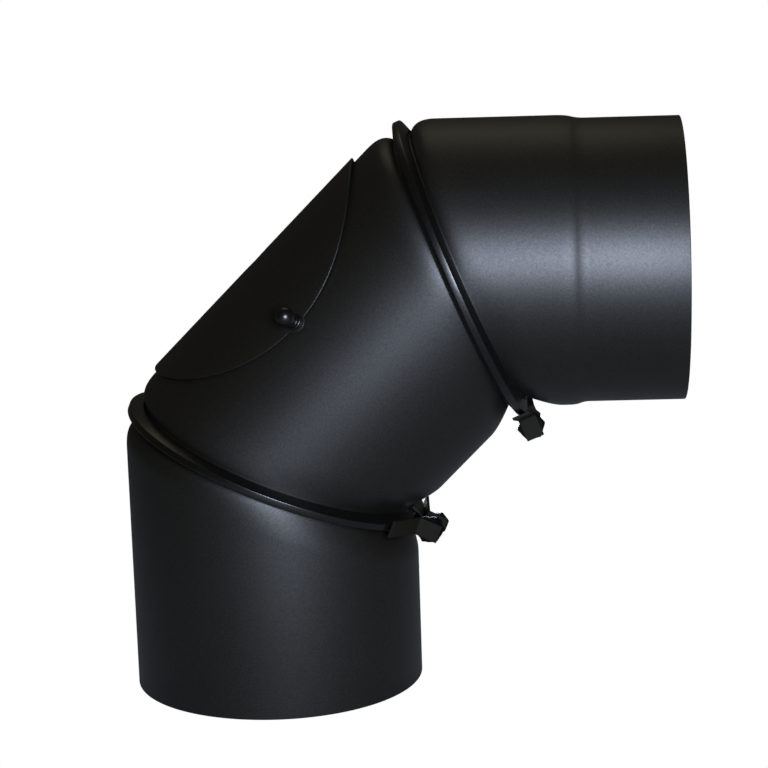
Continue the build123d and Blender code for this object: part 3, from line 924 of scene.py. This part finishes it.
def area_light(name, location, target, width, depth, watts, tint):
    """Soft box that looks at a point."""
    data = bpy.data.lights.new(name, "AREA")
    data.shape = "RECTANGLE"
    data.size = width
    data.size_y = depth
    data.energy = watts
    data.color = tint
    light = bpy.data.objects.new(name, data)
    light.location = location
    light.visible_camera = False
    light.rotation_mode = "QUATERNION"
    light.rotation_quaternion = (target - Vector(location)).to_track_quat("-Z", "Y")
    bpy.context.scene.collection.objects.link(light)


def seen_and_lit(tree, seen, lit, output):
    """Shows one shader to the camera and gives the other one to the light."""
    path = tree.nodes.new("ShaderNodeLightPath")
    mix = tree.nodes.new("ShaderNodeMixShader")
    tree.links.new(path.outputs["Is Camera Ray"], mix.inputs["Fac"])
    tree.links.new(lit, mix.inputs[1])
    tree.links.new(seen, mix.inputs[2])
    tree.links.new(mix.outputs["Shader"], tree.nodes[output].inputs["Surface"])
    spread(tree)


class ELBOW_OT_stage(bpy.types.Operator):
    """Sets up the camera, the floor, the white background and the lights"""

    bl_idname = "elbow.stage"
    bl_label = "Build stage"

    def execute(self, context):
        stage = context.scene.elbow_stage
        target = bend_middle(context.scene.elbow_pipe)
        self.camera(context, stage, target)
        self.floor(stage)
        self.world(context, stage)
        front = target + self.view_back(stage, stage.box_turn) * stage.box_distance
        area_light("front_box", front, target, stage.box_size, stage.box_size, stage.box_power, stage.box_colour)
        top = stage.top_place
        area_light("top_box", top, target, stage.top_width, stage.top_depth, stage.top_power, stage.top_colour)
        # Hidden from the camera by the elbow itself, this box lights the back and the right rim.
        behind = target - self.view_back(stage, stage.azimuth) * stage.back_distance
        size = stage.back_size
        area_light("back_box", behind, target, size, size, stage.back_power, stage.back_colour)
        context.scene.view_settings.view_transform = "Standard"
        return {"FINISHED"}

    def view_back(self, stage, turn):
        """Direction from the elbow at the camera's height, turned to the right of the front."""
        level = math.cos(stage.elevation)
        return Vector((math.sin(turn) * level, -math.cos(turn) * level, math.sin(stage.elevation)))

    def camera(self, context, stage, target):
        """Camera at the photographed angle."""
        back = self.view_back(stage, stage.azimuth)
        right = Vector((0, 0, 1)).cross(back).normalized()
        up = back.cross(right)
        side = right * math.cos(stage.roll) + up * math.sin(stage.roll)
        top = up * math.cos(stage.roll) - right * math.sin(stage.roll)
        x, y = stage.shift_x / stage.focal, stage.shift_y / stage.focal
        data = bpy.data.cameras.new("camera")
        data.sensor_fit = "HORIZONTAL"
        data.sensor_width = stage.sensor
        data.lens = stage.sensor * stage.focal
        camera = bpy.data.objects.new("camera", data)
        camera.matrix_world = placed(side, top, back, target - (side * x + top * y - back) * stage.distance)
        context.scene.collection.objects.link(camera)
        context.scene.camera = camera

    def floor(self, stage):
        """Grey floor that reads as white to the camera."""
        half = stage.floor_size / 2
        points = [(-half, -half, 0), (half, -half, 0), (half, half, 0), (-half, half, 0)]
        floor = mesh_object("floor", [points], [(0, 1, 2, 3)])
        material = bpy.data.materials.new("floor")
        material.use_nodes = True
        tree = material.node_tree
        shader = tree.nodes["Principled BSDF"]
        shader.inputs["Base Color"].default_value = (*[stage.floor_grey] * 3, 1.0)
        shader.inputs["Roughness"].default_value = stage.floor_rough
        glow = tree.nodes.new("ShaderNodeEmission")
        glow.inputs["Color"].default_value = WHITE
        seen_and_lit(tree, glow.outputs["Emission"], shader.outputs["BSDF"], "Material Output")
        floor.data.materials.append(material)

    def world(self, context, stage):
        """White to the camera, a low even light for the rest."""
        world = bpy.data.worlds.new("world")
        context.scene.world = world
        world.use_nodes = True
        tree = world.node_tree
        even = tree.nodes["Background"]
        even.inputs["Color"].default_value = (*stage.world_colour, 1.0)
        even.inputs["Strength"].default_value = stage.world_light
        white = tree.nodes.new("ShaderNodeBackground")
        white.inputs["Color"].default_value = WHITE
        seen_and_lit(tree, white.outputs["Background"], even.outputs["Background"], "World Output")


class ELBOW_PT_panel(bpy.types.Panel):
    """Sidebar panel of the elbow"""

    bl_idname = "ELBOW_PT_panel"
    bl_label = "Stove Pipe Elbow"
    bl_space_type = "VIEW_3D"
    bl_region_type = "UI"
    bl_category = "Stove Elbow"

    def draw(self, context):
        for name, group in GROUPS.items():
            box = self.layout.box()
            for size in group.__annotations__:
                box.prop(getattr(context.scene, name), size)
        for operator in OPERATORS:
            self.layout.operator(operator.bl_idname)


GROUPS = {
    "elbow_pipe": PipeSizes,
    "elbow_clamp": ClampSizes,
    "elbow_door": DoorSizes,
    "elbow_looks": FinishLooks,
    "elbow_stage": StageSizes,
}
OPERATORS = (ELBOW_OT_materials, ELBOW_OT_segments, ELBOW_OT_clamps, ELBOW_OT_door, ELBOW_OT_stage)


def register():
    for name, group in GROUPS.items():
        bpy.utils.register_class(group)
        setattr(bpy.types.Scene, name, bpy.props.PointerProperty(type=group))
    for operator in OPERATORS:
        bpy.utils.register_class(operator)
    bpy.utils.register_class(ELBOW_PT_panel)


def unregister():
    bpy.utils.unregister_class(ELBOW_PT_panel)
    for operator in reversed(OPERATORS):
        bpy.utils.unregister_class(operator)
    for name, group in GROUPS.items():
        delattr(bpy.types.Scene, name)
        bpy.utils.unregister_class(group)


def main():
    register()
    bpy.ops.elbow.materials()
    bpy.ops.elbow.segments()
    bpy.ops.elbow.clamps()
    bpy.ops.elbow.door()
    bpy.ops.elbow.stage()


if __name__ == "__main__":
    main()
